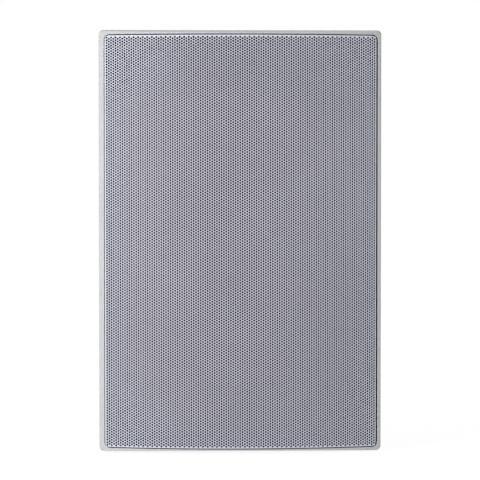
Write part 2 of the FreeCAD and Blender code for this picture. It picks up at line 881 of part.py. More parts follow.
def motor():
    """The magnet, its two plates and the pole that the voice coil moves round."""
    front = driver_piece("front_plate", ring(plate_hole, d.plate_radius, plate_front, d.plate_thick))
    magnet = driver_piece("ring_magnet", ring(d.magnet_hole, d.magnet_radius, magnet_front, d.magnet_thick))
    yoke = driver_piece(
        "pole_yoke",
        [
            (as_size(0), plate_front),
            (d.pole_radius, plate_front),
            (d.pole_radius, yoke_front),
            (d.plate_radius, yoke_front),
            (d.plate_radius, yoke_front + d.yoke_thick),
            (as_size(0), yoke_front + d.yoke_thick),
        ],
    )
    return [front, magnet, yoke]


def voice_coil():
    """The former that carries the cone, and the wire wound on its end in the magnet's gap."""
    former_front = d.cone_neck_depth - d.cone_wall
    length = coil_end - former_front
    former = driver_piece("coil_former", ring(former_inside, former_outside, former_front, length))
    coil_front = coil_end - d.coil_length
    winding = driver_piece("coil_winding", ring(former_outside, coil_outside, coil_front, d.coil_length))
    return [former, winding]


def cone():
    """The paper cone, from the neck on the former to the flat land under the surround."""
    land_front = -d.basket_sheet
    land = d.cone_radius - d.cone_land
    return driver_piece(
        "speaker_cone",
        [
            (neck_radius, d.cone_neck_depth),
            (d.cone_mid_radius, d.cone_mid_depth),
            (land, land_front),
            (d.cone_radius, land_front),
            (d.cone_radius, land_front + d.cone_wall),
            (land, land_front + d.cone_wall),
            (d.cone_mid_radius, d.cone_mid_depth + d.cone_wall * 1.2),
            (neck_radius, d.cone_neck_depth + d.cone_wall * 1.2),
        ],
    )


def surround():
    """The half roll of rubber between the cone and the basket."""
    seat = -d.basket_sheet
    top = seat - d.surround_wall
    outer_roll = d.roll_radius + d.surround_wall
    middle = (d.cone_radius + basket_mouth) / 2 + d.surround_wall / 2
    turns = [math.pi * i / ROLL_FACETS for i in range(ROLL_FACETS + 1)]

    def roll(radius, level):
        return [(middle - radius * math.cos(turn), level - d.roll_radius * math.sin(turn)) for turn in turns]

    inner_edge, outer_edge = d.cone_radius - d.cone_land, basket_mouth + d.surround_lip
    front = [(inner_edge, top), *roll(outer_roll, top), (outer_edge, top)]
    back = [(outer_edge, seat), *reversed(roll(d.roll_radius, seat)), (inner_edge, seat)]
    return driver_piece("surround", front + back)


def front_ring():
    """The card ring that clamps the outer lip of the surround to the flange."""
    top = basket_mouth + d.surround_lip
    front = -d.basket_sheet - d.surround_wall - d.ring_height
    return driver_piece("front_ring", ring(top - d.ring_width, top, front, d.ring_height))


def dust_cap():
    """The dome over the middle of the cone."""
    slope = (d.cone_neck_depth - d.cone_mid_depth) / (d.cone_mid_radius - neck_radius)
    rim = d.cone_neck_depth - slope * (d.cap_radius - neck_radius) - d.cap_seat
    steps = [i / CAP_FACETS for i in range(CAP_FACETS + 1)]

    def dome(radius, height):
        return [(radius * step, rim - height * (1 - step * step)) for step in steps]

    inside = dome(d.cap_radius - d.cap_wall, d.cap_height - d.cap_wall)
    return driver_piece("dust_cap", dome(d.cap_radius, d.cap_height) + inside[::-1])


def spider():
    """The corrugated disc that centres the former, from its collar to the ledge of the basket."""
    level = d.ledge_depth - d.spider_wall
    start = neck_radius + d.spider_collar
    stop = d.ledge_radius - d.spider_lip
    folds = 2 * SPIDER_WAVES
    crests = [start + (stop - start) * ((i + 0.5) / folds) for i in range(folds)]
    heights = [level - d.spider_wave * (1 if i % 2 else -1) / 2 for i in range(folds)]
    front = [(neck_radius, level), (start, level), *zip(crests, heights), (stop, level)]
    front.append((d.ledge_radius - d.spider_wall, level))
    back = [(radius, height + d.spider_wall) for radius, height in reversed(front)]
    return driver_piece("spider", front + back)


def driver_tags():
    """The board on the basket with the two solder lugs of the driver."""
    slope = (basket_mouth - d.ledge_radius) / (d.ledge_depth + d.basket_sheet)
    against = basket_mouth + d.basket_sheet - slope * d.tag_depth
    top = d.driver_z - against - d.glue
    depth = driver_flange - d.tag_depth - d.tag_board
    board = body_at("tag_board", 0, depth, top)
    plate = Drawing(board, "plate", "XZ_Plane").box(d.tag_width, d.tag_height, 0, -d.tag_height / 2)
    pad(board, plate, d.tag_board)
    lugs = body_at("tag_lugs", 0, depth, top)
    strips = Drawing(lugs, "strips", "XZ_Plane")
    for side in (-1, 1):
        lug_z = d.lug_width - (d.tag_height + d.lug_length) / 2
        strips.box(d.lug_width, d.lug_length, d.lug_spacing / 2 * side, lug_z)
    pad(lugs, strips, d.lug_sheet, reverse=True)
    return [board, lugs]


def line_transformer():
    """The matching transformer: core, bobbin, winding and the strap that holds it to the rear box."""
    core = body_at("transformer_core", d.line_x, core_base, line_z)
    window = (d.core_width - d.core_leg) / 2 - d.core_yoke
    tall = d.core_height - 2 * d.core_yoke
    plates = Drawing(core, "plates", "XY_Plane").box(d.core_width, d.core_height, 0, -d.core_height / 2)
    for side in (-1, 1):
        plates.box(window, tall, (d.core_leg + window) / 2 * side, -d.core_height / 2)
    pad(core, plates, d.core_stack, symmetric=True)
    low = core_base + d.core_yoke + d.bobbin_play
    length = tall - 2 * d.bobbin_play
    tube_x = d.core_leg + 2 * d.bobbin_play
    tube_z = d.core_stack + 2 * d.bobbin_play
    sleeve_x, sleeve_z = tube_x + 2 * d.bobbin_wall, tube_z + 2 * d.bobbin_wall
    cheek_x = d.core_leg + 2 * (window - d.bobbin_play)
    cheek_z = tube_z + 2 * (d.bobbin_wall + d.winding_reach)
    bobbin = body_at("transformer_bobbin", d.line_x, low, line_z)
    sleeve = Drawing(bobbin, "sleeve", "XZ_Plane").box(sleeve_x, sleeve_z).box(tube_x, tube_z)
    pad(bobbin, sleeve, length)
    for name, at in (("near_cheek", as_size(0)), ("far_cheek", length - d.bobbin_wall)):
        cheek = Drawing(bobbin, name, "XZ_Plane", at).box(cheek_x, cheek_z).box(tube_x, tube_z)
        pad(bobbin, cheek, d.bobbin_wall)
    winding = body_at("transformer_winding", d.line_x, low + d.bobbin_wall, line_z)
    wound_x, wound_z = cheek_x - 2 * d.bobbin_wall, cheek_z - 2 * d.bobbin_wall
    turns = Drawing(winding, "turns", "XZ_Plane")
    turns.rounded(wound_x, wound_z, d.bobbin_wall * 2).box(sleeve_x, sleeve_z)
    pad(winding, turns, length - 2 * d.bobbin_wall)
    return [core, bobbin, winding, transformer_strap()]


def transformer_strap():
    """The steel strap over the core, with a foot on each boss."""
    strap = body_at("transformer_strap", d.line_x, core_base, line_z)
    inside = d.core_width / 2 + d.strap_play
    outside = inside + d.strap_sheet
    toe = outside + d.strap_foot
    top = d.core_height + d.strap_play
    foot = d.strap_sheet
    right = [(toe, as_size(0)), (toe, -foot), (outside, -foot), (outside, -top - foot)]
    left = [(-x, y) for x, y in reversed(right)]
    inner = [(-inside, as_size(0)), (-inside, -top), (inside, -top), (inside, as_size(0))]
    bend = Drawing(strap, "bend", "XY_Plane").outline(right + left + inner)
    pad(strap, bend, d.strap_width, symmetric=True)
    holes = Drawing(strap, "holes", "XZ_Plane", foot)
    for side in (-1, 1):
        holes.circle(d.line_screw_radius + d.screw_hole_play, foot_x * side, 0)
    pocket(strap, holes, foot)
    return strap


def terminal_block():
    """The two-way screw terminal that the line is wired to, with an ear at each end."""
    block = body_at("terminal_block", d.cable_x, block_base, block_z)
    length = d.block_length - 2 * d.block_ear
    half = d.block_height / 2
    side = Drawing(block, "side", "YZ_Plane")
    side.outline(
        [
            (as_size(0), -half),
            (as_size(0), half),
            (-d.block_shelf, half),
            (-d.block_shelf, half - d.block_step),
            (-d.block_depth, half - d.block_step),
            (-d.block_depth, -half),
        ]
    )
    pad(block, side, length, symmetric=True)
    ears = Drawing(block, "ears", "XZ_Plane")
    for end in (-1, 1):
        ears.box(d.block_ear, d.block_height / 2, ear_x * end, 0)
    pad(block, ears, d.block_ear_depth)
    holes = Drawing(block, "ear_holes", "XZ_Plane", d.block_ear_depth)
    wells = Drawing(block, "wells", "XZ_Plane", d.block_depth)
    for end in (-1, 1):
        holes.circle(d.block_screw_radius + d.screw_hole_play, ear_x * end, 0)
        wells.circle(d.way_radius, d.way_spacing / 2 * end, -d.block_step / 2)
    pocket(block, holes, d.block_ear_depth)
    pocket(block, wells, d.way_depth)
    seat = block_base + d.block_depth - d.way_depth
    clamps = doc.addObject("Part::Compound", "terminal_screws")
    clamps.Label = "terminal_screws"
    made = []
    for i, end in enumerate((-1, 1)):
        clamp = doc.addObject("Part::Cylinder", f"terminal_screw_{i}")
        for name, size in (("Radius", d.clamp_radius), ("Height", d.clamp_height)):
            setattr(clamp, name, size.value)
            clamp.setExpression(name, size.text)
        clamp_x, clamp_z = d.cable_x + d.way_spacing / 2 * end, block_z - d.block_step / 2
        place(clamp, clamp_x, -seat, clamp_z, Rotation(Vector(1, 0, 0), 90))
        made.append(clamp)
    clamps.Links = made
    return [block, clamps]


def lead_route(*stops):
    """Points of a wire. A stop is an anchor, and its distance from there in bend radii along X, Y and Z."""
    return [
        [(place + d.lead_bend * steps).value for place, steps in zip(anchor, away)] for anchor, away in stops
    ]


def leads():
    """Wires from the terminals to the transformer, and from there to the driver's tags."""
    tag_y = d.tag_depth + d.tag_board - driver_flange + d.lug_sheet + d.lead_radius + d.glue
    tag_z = d.driver_z - basket_mouth - d.tag_height - d.lug_length / 2
    wound_y = -(core_base + d.core_height / 2)
    wound_reach = d.core_stack / 2 + d.winding_reach + d.glue
    block_y = -(block_base + d.block_shelf / 2)
    to_driver = []
    to_line = []
    for side in (-1, 1):
        tag = (d.lug_spacing / 2 * side, tag_y, tag_z)
        coil_x = d.line_x + d.core_leg / 4 * side
        coil_top = (coil_x, wound_y, line_z + wound_reach)
        coil_low = (coil_x, wound_y, line_z - wound_reach)
        way = (d.cable_x + d.way_spacing / 2 * side, block_y, block_z - d.block_height / 2 - d.glue)
        apart = 0.43 * side
        to_driver.append(
            lead_route(
                (tag, (0, 0, 0)),
                (tag, (-0.3, 0.9, -1.3)),
                (tag, (-1.7, 2.0, -2.9)),
                (coil_top, (1.1, -0.4, 2.3)),
                (coil_top, (0, 0, 0.9)),
                (coil_top, (0, 0, 0.05)),
            )
        )
        to_line.append(
            lead_route(
                (coil_low, (0, 0, -0.3)),
                (coil_low, (0, 0.6, -1.4)),
                (coil_low, (2.3, 1.1, -2.4 - apart)),
                (way, (-3.1, 0, -1.4 - apart)),
                (way, (-0.7, 0, -1.4 - apart)),
                (way, (0, 0, -0.7)),
                (way, (0, 0, 0)),
            )
        )
    driver_leads = lead_set("driver_leads", to_driver, d.lead_radius, d.lead_bend)
    line_leads = lead_set("line_leads", to_line, d.lead_radius, d.lead_bend)
    return [driver_leads, line_leads]


def wadding_pad():
    """The pad of polyester wadding on the back wall behind the magnet."""
    body = body_at("wadding_pad", 0, d.back_wall, d.driver_z)
    outline = Drawing(body, "pad", "XZ_Plane").rounded(d.pad_width, d.pad_height, d.pad_corner)
    yoke_back = driver_flange - yoke_front - d.yoke_thick
    pad(body, outline, yoke_back - d.pad_clear - d.back_wall)
    return body


def all_screws():
    """The four sets of screws that hold the pieces together."""
    ear_seat = block_base + d.block_ear_depth
    foot_seat = core_base + d.strap_sheet
    flange_front = driver_flange + d.basket_sheet
    box_screw = (d.box_screw_radius, d.box_screw_length, d.box_head_radius)
    driver_screw = (d.driver_screw_radius, d.driver_screw_length, d.driver_head_radius)
    line_screw = (d.line_screw_radius, d.line_screw_length, d.line_head_radius)
    block_screw = (d.block_screw_radius, d.block_screw_length, d.block_head_radius)
    return [
        screws("housing_screws", posts, baffle_front, *box_screw),
        screws("driver_screws", driver_holes, flange_front, *driver_screw),
        screws("transformer_screws", line_feet, foot_seat, *line_screw),
        screws("block_screws", block_ears, ear_seat, *block_screw),
    ]


pieces = [rear_box(), cable_grommet(), housing_seal(), front_housing(), grille(), dust_scrim()]
pieces += [driver_seal(), driver_basket(), *motor(), *voice_coil(), cone(), surround(), front_ring()]
pieces += [dust_cap(), spider(), *driver_tags(), *line_transformer(), *terminal_block()]
pieces += [*leads(), wadding_pad(), *all_screws()]
doc.recompute()

for item in doc.Objects:
    if "Invalid" in item.State or "Error" in item.State:
        raise RuntimeError(f"{item.Name} failed: {item.State}")
for piece in pieces:
    if piece.Shape.isNull() or not piece.Shape.isValid():
        raise RuntimeError(f"{piece.Label} has no valid shape")

os.makedirs("parts", exist_ok=True)
for piece in pieces:
    piece.Shape.exportStep(f"parts/{piece.Label}.step")
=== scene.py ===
import json
import math

import bpy
import numpy as np
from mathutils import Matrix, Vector
from mathutils.geometry import delaunay_2d_cdt


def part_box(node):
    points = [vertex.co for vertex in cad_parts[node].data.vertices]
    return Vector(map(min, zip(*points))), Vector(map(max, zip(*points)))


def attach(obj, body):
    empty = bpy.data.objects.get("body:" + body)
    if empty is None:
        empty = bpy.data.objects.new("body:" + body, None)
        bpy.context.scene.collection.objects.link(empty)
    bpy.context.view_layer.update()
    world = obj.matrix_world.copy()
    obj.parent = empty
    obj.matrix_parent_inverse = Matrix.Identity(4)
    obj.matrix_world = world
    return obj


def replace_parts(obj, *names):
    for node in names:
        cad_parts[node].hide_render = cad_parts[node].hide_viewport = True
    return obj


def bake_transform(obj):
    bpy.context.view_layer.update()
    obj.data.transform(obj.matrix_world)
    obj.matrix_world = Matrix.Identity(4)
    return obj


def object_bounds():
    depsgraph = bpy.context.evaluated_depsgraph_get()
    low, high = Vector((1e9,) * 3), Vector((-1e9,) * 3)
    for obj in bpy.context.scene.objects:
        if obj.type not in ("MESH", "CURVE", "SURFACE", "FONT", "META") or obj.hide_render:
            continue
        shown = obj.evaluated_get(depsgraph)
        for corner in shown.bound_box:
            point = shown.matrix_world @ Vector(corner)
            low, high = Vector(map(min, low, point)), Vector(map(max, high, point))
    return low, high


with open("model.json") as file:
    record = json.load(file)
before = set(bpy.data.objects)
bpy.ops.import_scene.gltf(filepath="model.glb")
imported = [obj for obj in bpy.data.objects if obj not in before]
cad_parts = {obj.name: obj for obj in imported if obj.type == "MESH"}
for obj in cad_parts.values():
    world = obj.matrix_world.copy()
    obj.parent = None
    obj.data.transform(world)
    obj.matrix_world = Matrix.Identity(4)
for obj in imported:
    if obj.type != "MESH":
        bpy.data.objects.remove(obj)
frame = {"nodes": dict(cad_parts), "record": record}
cad_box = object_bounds()

# Sizes in metres. The front is bowed about an upright axis, and across is measured along the bow.

GRILLE_LOW, GRILLE_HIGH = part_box("grille")
HALF_WIDTH = GRILLE_HIGH.x
HALF_HEIGHT = GRILLE_HIGH.z
APEX = GRILLE_LOW.y
SEAT = GRILLE_HIGH.y
BOW_RADIUS = 0.331875
BOW_CENTRE = APEX + BOW_RADIUS
HALF_ACROSS = BOW_RADIUS * math.asin(HALF_WIDTH / BOW_RADIUS)

# The perforated sheet
SHEET = 0.0006
FOLD = 0.00025
FOLD_STEPS = 6
CORNER = 0.003
CORNER_STEPS = 8
SIDE_RUNS = 40
COLUMNS = 118
ROWS = 153
EDGE_TO_HOLES = 0.00135
HOLES_RIGHT = 0.0001
HOLES_DOWN = 0.00015
HOLE_RADIUS = 0.00074
HOLE_SIDES = 8
FIELDS = 4
COLUMN_STEP = 2 * (HALF_ACROSS - EDGE_TO_HOLES) / (COLUMNS - 1)
PITCH = 2 * (HALF_HEIGHT - EDGE_TO_HOLES) / (ROWS - 1)
MERGE = 1e-7

# The cloth behind it. Its slack is a faint ripple, with the wave numbers in radians per metre.
SCRIM_MARGIN = 0.0007
SCRIM_DROP = 0.00125
SCRIM_SLACK = 0.00006
SLACK_ACROSS = 900.0
SLACK_UP = 700.0
SCRIM_COLUMNS = 61
SCRIM_ROWS = 91

# The batt of wadding: shares of its box
BATT_GRID = 61
BATT_PULL = 0.035
BATT_FULL = 0.87
BATT_LUMP = 0.085

# The flexing rings of the driver
WEDGES = 12
WEDGE_SECTIONS = 9
DRIVER_Z = (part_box("surround")[0].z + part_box("surround")[1].z) / 2
ROLL_WALL = 0.0006
ROLL_POINTS = 17
ROLL_TO_EDGE = 0.00055
ROLL_OVERLAP = 0.0033
DISC_WALL = 0.0006
DISC_POINTS = 49
DISC_WAVES = 3
DISC_HOLE = 0.0131
DISC_COLLAR = 0.0146
DISC_LIP = 0.0320

# The bare ends of the driver leads. The middle of a sleeve's end lies a little inside the box of the leads.
LUG_WIDTH = 0.0026
SLEEVE_END_BACK = 0.00064
SLEEVE_END_DOWN = 0.00046
STRAND = 0.00045
STRAND_SIDES = 12
# Where the strand starts in its sleeve, and where it has turned upright, from the sleeve's end
STRAND_START = (0.0008, -0.0012)
STRAND_UPRIGHT = 0.001
# The solder on a lug: depth from its back, height from its lower end, and radius
SOLDER = [
    (STRAND, -0.0007, STRAND),
    (0.0003, 0.0003, 0.00055),
    (0.00025, 0.0013, 0.0007),
    (0.00025, 0.0023, 0.0007),
    (0.00025, 0.0031, 0.0005),
    (0.00025, 0.0034, 0.0002),
]

# The stage, the light and the camera
STAND = cad_box[0][2]
FLOOR_REACH = 4.0
FLOOR_GLOW = 1.12
FLOOR_GLOW_SHARE = 0.84
AMBIENT_COLOUR = (0.95, 0.97, 1.0)
AMBIENT_STRENGTH = 0.29
LAMP_AIM = Vector((0, -0.08, 0))
CAMERA_AT = Vector((-0.044, -1.600, 0.0514))
CAMERA_TO = Vector((-0.0001, -0.070, 0.0006))
FOCAL_PIXELS = 2273.7
IMAGE_PIXELS = 480
SENSOR = 36.0

# Colours of the outside
GRILLE_GREY = (0.635, 0.648, 0.742)
HOUSING_GREY = (0.565, 0.565, 0.572)
BOX_GREY = (0.55, 0.55, 0.555)

# Scale of a wave texture that makes one band to the metre
BAND = math.tau / 20


# Materials

class Shader:
    """A material of nodes, with short ways to add and link them."""

    def __init__(self, name, colour, roughness, metallic=0.0, specular=0.5):
        self.material = bpy.data.materials.new(name)
        self.material.use_nodes = True
        self.nodes = self.material.node_tree.nodes
        self.links = self.material.node_tree.links
        self.surface = self.nodes["Principled BSDF"]
        self.surface.inputs["Base Color"].default_value = (*colour, 1)
        self.surface.inputs["Roughness"].default_value = roughness
        self.surface.inputs["Metallic"].default_value = metallic
        self.surface.inputs["Specular IOR Level"].default_value = specular
        self.place = self.nodes.new("ShaderNodeTexCoord").outputs["Object"]

    def add(self, kind, inputs=None, **settings):
        """A node with its settings. An input is a plain value or another node's output."""
        node = self.nodes.new(f"ShaderNode{kind}")
        for key, value in settings.items():
            setattr(node, key, value)
        for key, value in (inputs or {}).items():
            if isinstance(value, bpy.types.NodeSocket):
                self.links.new(value, node.inputs[key])
            else:
                node.inputs[key].default_value = value
        return node

    def noise(self, scale, detail=3.0):
        """Even noise of a grain size given as features per metre."""
        inputs = {"Vector": self.place, "Scale": scale, "Detail": detail, "Roughness": 0.6}
        return self.add("TexNoise", inputs).outputs["Fac"]

    def stretched_noise(self, stretch, inputs):
        """Noise that is drawn out along one or two axes."""
        mapping = self.add("Mapping", {"Vector": self.place, "Scale": stretch})
        return self.add("TexNoise", {"Vector": mapping.outputs["Vector"], **inputs}).outputs["Fac"]

    def bands(self, direction, count, distortion, detail=2.0):
        """Bands across one axis, a count of them to the metre."""
        inputs = {"Vector": self.place, "Scale": count * BAND, "Distortion": distortion, "Detail": detail}
        return self.add("TexWave", inputs, bands_direction=direction).outputs["Fac"]

    def mottle(self, factor, colour, darker, lighter):
        """Tints the surface from darker to lighter, as shares of its colour, where a factor is middling."""
        node = self.add("ValToRGB", {"Fac": factor})
        for element, place, change in zip(node.color_ramp.elements, (0.3, 0.7), (-darker, lighter)):
            element.position = place
            element.color = (*shaded(colour, change), 1)
        self.link("Base Color", node.outputs["Color"])

    def gloss(self, factor, low, high):
        """Roughness from low to high as a factor goes from 0 to 1."""
        node = self.add("MapRange", {"Value": factor, "To Min": low, "To Max": high})
        self.link("Roughness", node.outputs["Result"])

    def bump(self, height, depth):
        """A bump with its depth in metres."""
        node = self.add("Bump", {"Height": height, "Distance": depth, "Strength": 1.0})
        self.link("Normal", node.outputs["Normal"])

    def link(self, name, output):
        self.links.new(output, self.surface.inputs[name])


def shaded(colour, change):
    """A colour made lighter or darker by a share of itself."""
    return tuple(min(1.0, max(0.0, part * (1 + change))) for part in colour)


def moulded(name, colour, roughness=0.5, grain=2600.0, depth=0.000003, specular=0.4):
    """Moulded plastic: a fine eroded texture, faint flow marks and uneven gloss."""
    shader = Shader(name, colour, roughness, specular=specular)
    flow = shader.noise(scale=14.0, detail=4.0)
    fine = shader.noise(scale=grain, detail=2.0)
    shader.mottle(flow, colour, darker=0.05, lighter=0.04)
    shader.gloss(fine, roughness - 0.06, roughness + 0.1)
    shader.bump(fine, depth)
    return shader.material


def powder_coat(name, colour):
    """Satin powder coat: orange peel over sheet metal, a little lighter where the coat is thick."""
    shader = Shader(name, colour, roughness=0.42)
    peel = shader.noise(scale=1500.0, detail=2.0)
    cloud = shader.noise(scale=9.0)
    shader.mottle(cloud, colour, darker=0.05, lighter=0.05)
    shader.gloss(peel, low=0.36, high=0.5)
    shader.bump(peel, depth=0.00003)
    return shader.material


def plated(name, colour, roughness=0.3):
    """Plated or bare metal: brushed streaks along one way and dull patches."""
    shader = Shader(name, colour, roughness, metallic=1.0)
    streaks = shader.stretched_noise((60.0, 900.0, 900.0), {"Scale": 4.0, "Detail": 3.0})
    patches = shader.noise(scale=120.0)
    shader.mottle(patches, colour, darker=0.14, lighter=0.08)
    shader.gloss(streaks, roughness - 0.08, roughness + 0.15)
    shader.bump(streaks, depth=0.00001)
    return shader.material


def woven(name, colour, threads=1400.0):
    """Plain woven cloth: crossing threads a fixed number to the metre, with uneven yarn."""
    shader = Shader(name, colour, roughness=0.9, specular=0.2)
    warp, weft = (shader.bands(direction, threads, distortion=0.6, detail=1.0) for direction in "XZ")
    weave = shader.add("Math", {0: warp, 1: weft}, operation="MAXIMUM").outputs["Value"]
    shader.mottle(weave, colour, darker=0.45, lighter=0.25)
    shader.bump(weave, depth=0.00012)
    return shader.material


def pressed_fibre(name, colour, grain=900.0, depth=0.0002):
    """Paper pulp, felt or fibre: tangled long fibres over a mottled ground."""
    shader = Shader(name, colour, roughness=0.92, specular=0.15)
    tangle = {"Scale": grain, "Detail": 5.0, "Distortion": 1.5}
    fibre = shader.stretched_noise((1.0, 3.0, 1.6), tangle)
    shader.mottle(fibre, colour, darker=0.3, lighter=0.25)
    shader.bump(fibre, depth)
    return shader.material


def soft_rubber(name, colour):
    """Rubber or closed foam: matt, with fine pores and a dusty bloom."""
    shader = Shader(name, colour, roughness=0.75, specular=0.3)
    pores = shader.add("TexVoronoi", {"Vector": shader.place, "Scale": 1300.0}).outputs["Distance"]
    bloom = shader.noise(scale=40.0, detail=4.0)
    shader.mottle(bloom, colour, darker=0.2, lighter=0.6)
    shader.gloss(bloom, low=0.65, high=0.85)
    shader.bump(pores, depth=0.00006)
    return shader.material


def wound(name, colour, turns=2500.0):
    """Enamelled wire wound side by side: fine ridges, a number of turns to the metre."""
    shader = Shader(name, colour, roughness=0.3, metallic=0.9)
    ridge = shader.bands("Y", turns, distortion=0.3)
    shader.mottle(ridge, colour, darker=0.4, lighter=0.1)
    shader.bump(ridge, depth=0.00008)
    return shader.material


def laminated(name, colour, sheets=2000.0):
    """Steel sheets seen on edge, a number to the metre: fine grooves between dull layers."""
    shader = Shader(name, colour, roughness=0.5, metallic=0.8)
    layer = shader.bands("X", sheets, distortion=0.2)
    rust = shader.noise(scale=260.0, detail=4.0)
    shader.mottle(rust, colour, darker=0.3, lighter=0.2)
    shader.gloss(rust, low=0.4, high=0.65)
    shader.bump(layer, depth=0.0001)
    return shader.material


MATERIALS = {
    "grille_paint": powder_coat("grille_coat", GRILLE_GREY),
    "housing": moulded("housing_plastic", HOUSING_GREY, roughness=0.65, depth=0.000001, specular=0.15),
    "box": moulded("box_plastic", BOX_GREY, roughness=0.65, grain=1600.0, specular=0.2),
    "seal": soft_rubber("rubber", (0.035, 0.035, 0.037)),
    "scrim": woven("scrim_cloth", (0.018, 0.018, 0.02)),
    "pressed_steel": powder_coat("black_steel", (0.035, 0.035, 0.038)),
    "plated_steel": plated("zinc", (0.62, 0.62, 0.6)),
    "ferrite": moulded("ferrite", (0.06, 0.06, 0.062), roughness=0.6, grain=900.0, depth=0.00008),
    "pulp": pressed_fibre("pulp", (0.045, 0.045, 0.047)),
    "pad": pressed_fibre("wadding", (0.72, 0.71, 0.67), grain=500.0, depth=0.0008),
    "roll": soft_rubber("roll_rubber", (0.025, 0.025, 0.026)),
    "doped_cloth": woven("resin_cloth", (0.5, 0.3, 0.09), threads=1000.0),
    "former": plated("foil", (0.75, 0.74, 0.7), roughness=0.35),
    "copper": wound("copper", (0.6, 0.24, 0.1)),
    "board": moulded("laminate", (0.2, 0.1, 0.04), roughness=0.45),
    "tin": plated("tin", (0.72, 0.7, 0.64), roughness=0.35),
    "core_steel": laminated("core_steel", (0.25, 0.24, 0.23)),
    "bobbin": moulded("bobbin_plastic", (0.75, 0.72, 0.62)),
    "block": moulded("block_plastic", (0.03, 0.03, 0.032), roughness=0.35),
    "wire_red": moulded("red_sleeve", (0.4, 0.02, 0.02), roughness=0.35),
    "wire_black": moulded("black_sleeve", (0.02, 0.02, 0.02), roughness=0.35),
}

for subpart in frame["record"]["subparts"]:
    mesh = frame["nodes"][subpart["node"]].data
    mesh.materials.clear()
    mesh.materials.append(MATERIALS[subpart["material_slot"]])


# Mesh helpers

def new_object(name, points, faces, material, smooth=False):
    """A mesh object from points and faces."""
    mesh = bpy.data.meshes.new(name)
    mesh.from_pydata([tuple(p) for p in points], [], [tuple(int(i) for i in face) for face in faces])
    mesh.validate()
    mesh.polygons.foreach_set("use_smooth", [smooth] * len(mesh.polygons))
    mesh.materials.append(material)
    item = bpy.data.objects.new(name, mesh)
    bpy.context.scene.collection.objects.link(item)
    return item


def new_piece(name, points, faces, slot, body="enclosure", smooth=False):
    """A piece with the finish of a slot. It rides on a body, unless the body is None."""
    piece = new_object(name, points, faces, MATERIALS[slot], smooth)
    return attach(piece, body) if body else piece


def grid_faces(rows, columns):
    """Faces of a grid of points that is stored row by row."""
    index = np.arange(rows * columns).reshape(rows, columns)
    corners = [index[:-1, :-1], index[:-1, 1:], index[1:, 1:], index[1:, :-1]]
    return np.stack([corner.ravel() for corner in corners], axis=-1)


def loop_faces(loops, size):
    """Faces between neighbouring closed loops of points that are stored one after another."""
    index = np.arange(loops * size).reshape(loops, size)
    following = np.roll(index, -1, axis=1)
    corners = [index[:-1], index[1:], following[1:], following[:-1]]
    return np.stack([corner.ravel() for corner in corners], axis=-1)


def flipped(faces):
    """The same four-sided faces turned to look the other way, each from the same first corner."""
    return faces[:, [0, 3, 2, 1]]


def on_bow(across, height, drop=0.0):
    """Points of the bowed front, sunk by drop along the bow's normal."""
    turn = np.asarray(across) / BOW_RADIUS
    radius = BOW_RADIUS - drop
    x = radius * np.sin(turn)
    y = BOW_CENTRE - radius * np.cos(turn)
    return np.stack([x, y, np.broadcast_to(height, x.shape)], axis=-1)


# The perforated sheet: staggered round holes in upright columns, cut as real holes

def column_place(line):
    """Where a line between columns lies along the bow. Line 0 is the left edge of the first column."""
    return (line - COLUMNS / 2) * COLUMN_STEP + HOLES_RIGHT


def line_heights():
    """Heights of the points on a line between columns, half a pitch apart."""
    return (np.arange(2 * ROWS + 1) - ROWS) * PITCH / 2 - HOLES_DOWN


def column_holes(column):
    """Heights of a column's holes. Every second column has one hole fewer, half a pitch from the others."""
    count = ROWS - column % 2
    return (np.arange(count) - (count - 1) / 2) * PITCH - HOLES_DOWN


def cell_faces(hole, corners):
    """Faces between a hole of eight points and its cell's six, both anticlockwise from the right."""
    right, top_right, top_left, left, low_left, low_right = corners
    return [
        (hole[7], right, hole[0]),
        (hole[0], right, top_right, hole[1]),
        (hole[1], top_right, top_left, hole[2]),
        (hole[2], top_left, left, hole[3]),
        (hole[3], left, hole[4]),
        (hole[4], left, low_left, hole[5]),
        (hole[5], low_left, low_right, hole[6]),
        (hole[6], low_right, right, hole[7]),
    ]


def perforated_field(name, first, last):
    """Columns first to last of the sheet. Each cell lies between two lines and has a hole in its middle."""
    heights = line_heights()
    steps = len(heights)
    lines = range(first, last + 2)
    points = [on_bow(np.full(steps, column_place(line)), heights) for line in lines]
    faces = []
    count = steps * len(lines)
    ring = np.arange(HOLE_SIDES)
    following = np.roll(ring, -1)
    turns = 2 * np.pi * (ring + 0.5) / HOLE_SIDES
    for column in range(first, last + 1):
        left = (column - first) * steps
        right = left + steps
        start = column % 2
        if start:
            for low in (0, steps - 2):
                faces.append((left + low, right + low, right + low + 1, left + low + 1))
        across = column_place(column + 0.5) + HOLE_RADIUS * np.cos(turns)
        for row, height in enumerate(column_holes(column)):
            around = height + HOLE_RADIUS * np.sin(turns)
            points += [on_bow(across, around), on_bow(across, around, SHEET)]
            front = count + ring
            back = front + HOLE_SIDES
            count += 2 * HOLE_SIDES
            low_left, low_right = left + 2 * row + start, right + 2 * row + start
            corners = [low_right + 1, low_right + 2, low_left + 2, low_left + 1, low_left, low_right]
            faces += cell_faces(front, corners)
            faces += list(np.stack([front, back, back[following], front[following]], axis=-1))
    return new_piece(name, np.concatenate(points), faces, "grille_paint")


def rounded_rectangle(half_width, half_height, radius):
    """Points of a rectangle with round corners, anticlockwise, with spare points along its sides."""
    arcs = []
    for quarter, (side, up) in enumerate(((1, 1), (-1, 1), (-1, -1), (1, -1))):
        middle = np.array([side * (half_width - radius), up * (half_height - radius)])
        turns = math.pi / 2 * (quarter + np.arange(CORNER_STEPS + 1) / CORNER_STEPS)
        arcs.append(middle + radius * np.stack([np.cos(turns), np.sin(turns)], axis=-1))
    points = []
    for arc, following in zip(arcs, arcs[1:] + arcs[:1]):
        points += [arc, np.linspace(arc[-1], following[0], SIDE_RUNS, endpoint=False)[1:]]
    return np.concatenate(points)


